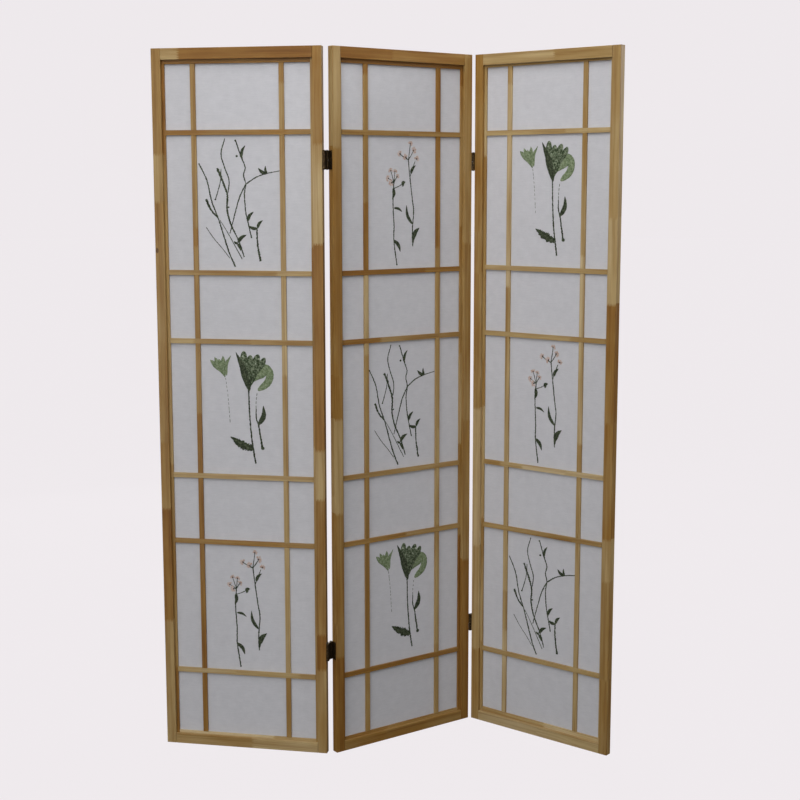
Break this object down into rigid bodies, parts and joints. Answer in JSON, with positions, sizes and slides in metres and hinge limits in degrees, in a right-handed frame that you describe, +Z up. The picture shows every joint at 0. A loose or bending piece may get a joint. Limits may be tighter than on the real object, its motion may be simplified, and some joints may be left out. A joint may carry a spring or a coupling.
{
  "type": "folding room divider screen",
  "caption": "Freestanding folding screen of framed lattice panels backed with a printed translucent sheet and joined by double-action hinges.",
  "frame": {"origin": "middle of the centre panel's underside, halfway through its thickness", "axes": "+X along the centre panel's width, to the right seen from the front; -Y the front of the centre panel; +Z up"},
  "size_m": [0.8885, 0.7597, 1.785],
  "materials": {
    "pine": "satin clear-finished finger-jointed pine",
    "sheet": "matt non-woven translucent sheet",
    "bronze": "antique bronze"
  },
  "bodies": {
    "panel_centre": {"centre_stile_left": "pine", "centre_stile_right": "pine", "centre_rail_top": "pine", "centre_rail_bottom": "pine", "centre_border_left": "pine", "centre_border_right": "pine", "centre_border_bottom": "pine", "centre_upright_1": "pine", "centre_upright_2": "pine", "centre_cross_bar_1": "pine", "centre_cross_bar_2": "pine", "centre_cross_bar_3": "pine", "centre_cross_bar_4": "pine", "centre_cross_bar_5": "pine", "centre_cross_bar_6": "pine", "centre_sheet": "sheet", "hinge_left_upper_rear_leaf": "bronze", "hinge_left_lower_rear_leaf": "bronze", "hinge_right_upper_front_leaf": "bronze", "hinge_right_lower_front_leaf": "bronze"},
    "links_left": {"hinge_left_upper_link": "bronze", "hinge_left_lower_link": "bronze"},
    "panel_left": {"left_stile_left": "pine", "left_stile_right": "pine", "left_rail_top": "pine", "left_rail_bottom": "pine", "left_border_left": "pine", "left_border_right": "pine", "left_border_bottom": "pine", "left_upright_1": "pine", "left_upright_2": "pine", "left_cross_bar_1": "pine", "left_cross_bar_2": "pine", "left_cross_bar_3": "pine", "left_cross_bar_4": "pine", "left_cross_bar_5": "pine", "left_cross_bar_6": "pine", "left_sheet": "sheet", "hinge_left_upper_front_leaf": "bronze", "hinge_left_lower_front_leaf": "bronze"},
    "links_right": {"hinge_right_upper_link": "bronze", "hinge_right_lower_link": "bronze"},
    "panel_right": {"right_stile_left": "pine", "right_stile_right": "pine", "right_rail_top": "pine", "right_rail_bottom": "pine", "right_border_left": "pine", "right_border_right": "pine", "right_border_bottom": "pine", "right_upright_1": "pine", "right_upright_2": "pine", "right_cross_bar_1": "pine", "right_cross_bar_2": "pine", "right_cross_bar_3": "pine", "right_cross_bar_4": "pine", "right_cross_bar_5": "pine", "right_cross_bar_6": "pine", "right_sheet": "sheet", "hinge_right_upper_rear_leaf": "bronze", "hinge_right_lower_rear_leaf": "bronze"}
  },
  "joints": [
    {"name": "left_rear_pin", "type": "hinge", "parent": "panel_centre", "child": "links_left", "pos_m": [-0.22, 0.0105, 0], "axis": [0, 0, 1], "range_deg": [-124, 56]},
    {"name": "left_front_pin", "type": "hinge", "parent": "links_left", "child": "panel_left", "pos_m": [-0.23741, -0.00124, 0], "axis": [0, 0, 1], "range_deg": [-9.5, 80.5]},
    {"name": "right_front_pin", "type": "hinge", "parent": "panel_centre", "child": "links_right", "pos_m": [0.22, -0.0105, 0], "axis": [0, 0, 1], "range_deg": [-105, 75]},
    {"name": "right_rear_pin", "type": "hinge", "parent": "links_right", "child": "panel_right", "pos_m": [0.24028, -0.00507, 0], "axis": [0, 0, 1], "range_deg": [0, 90]}
  ]
}
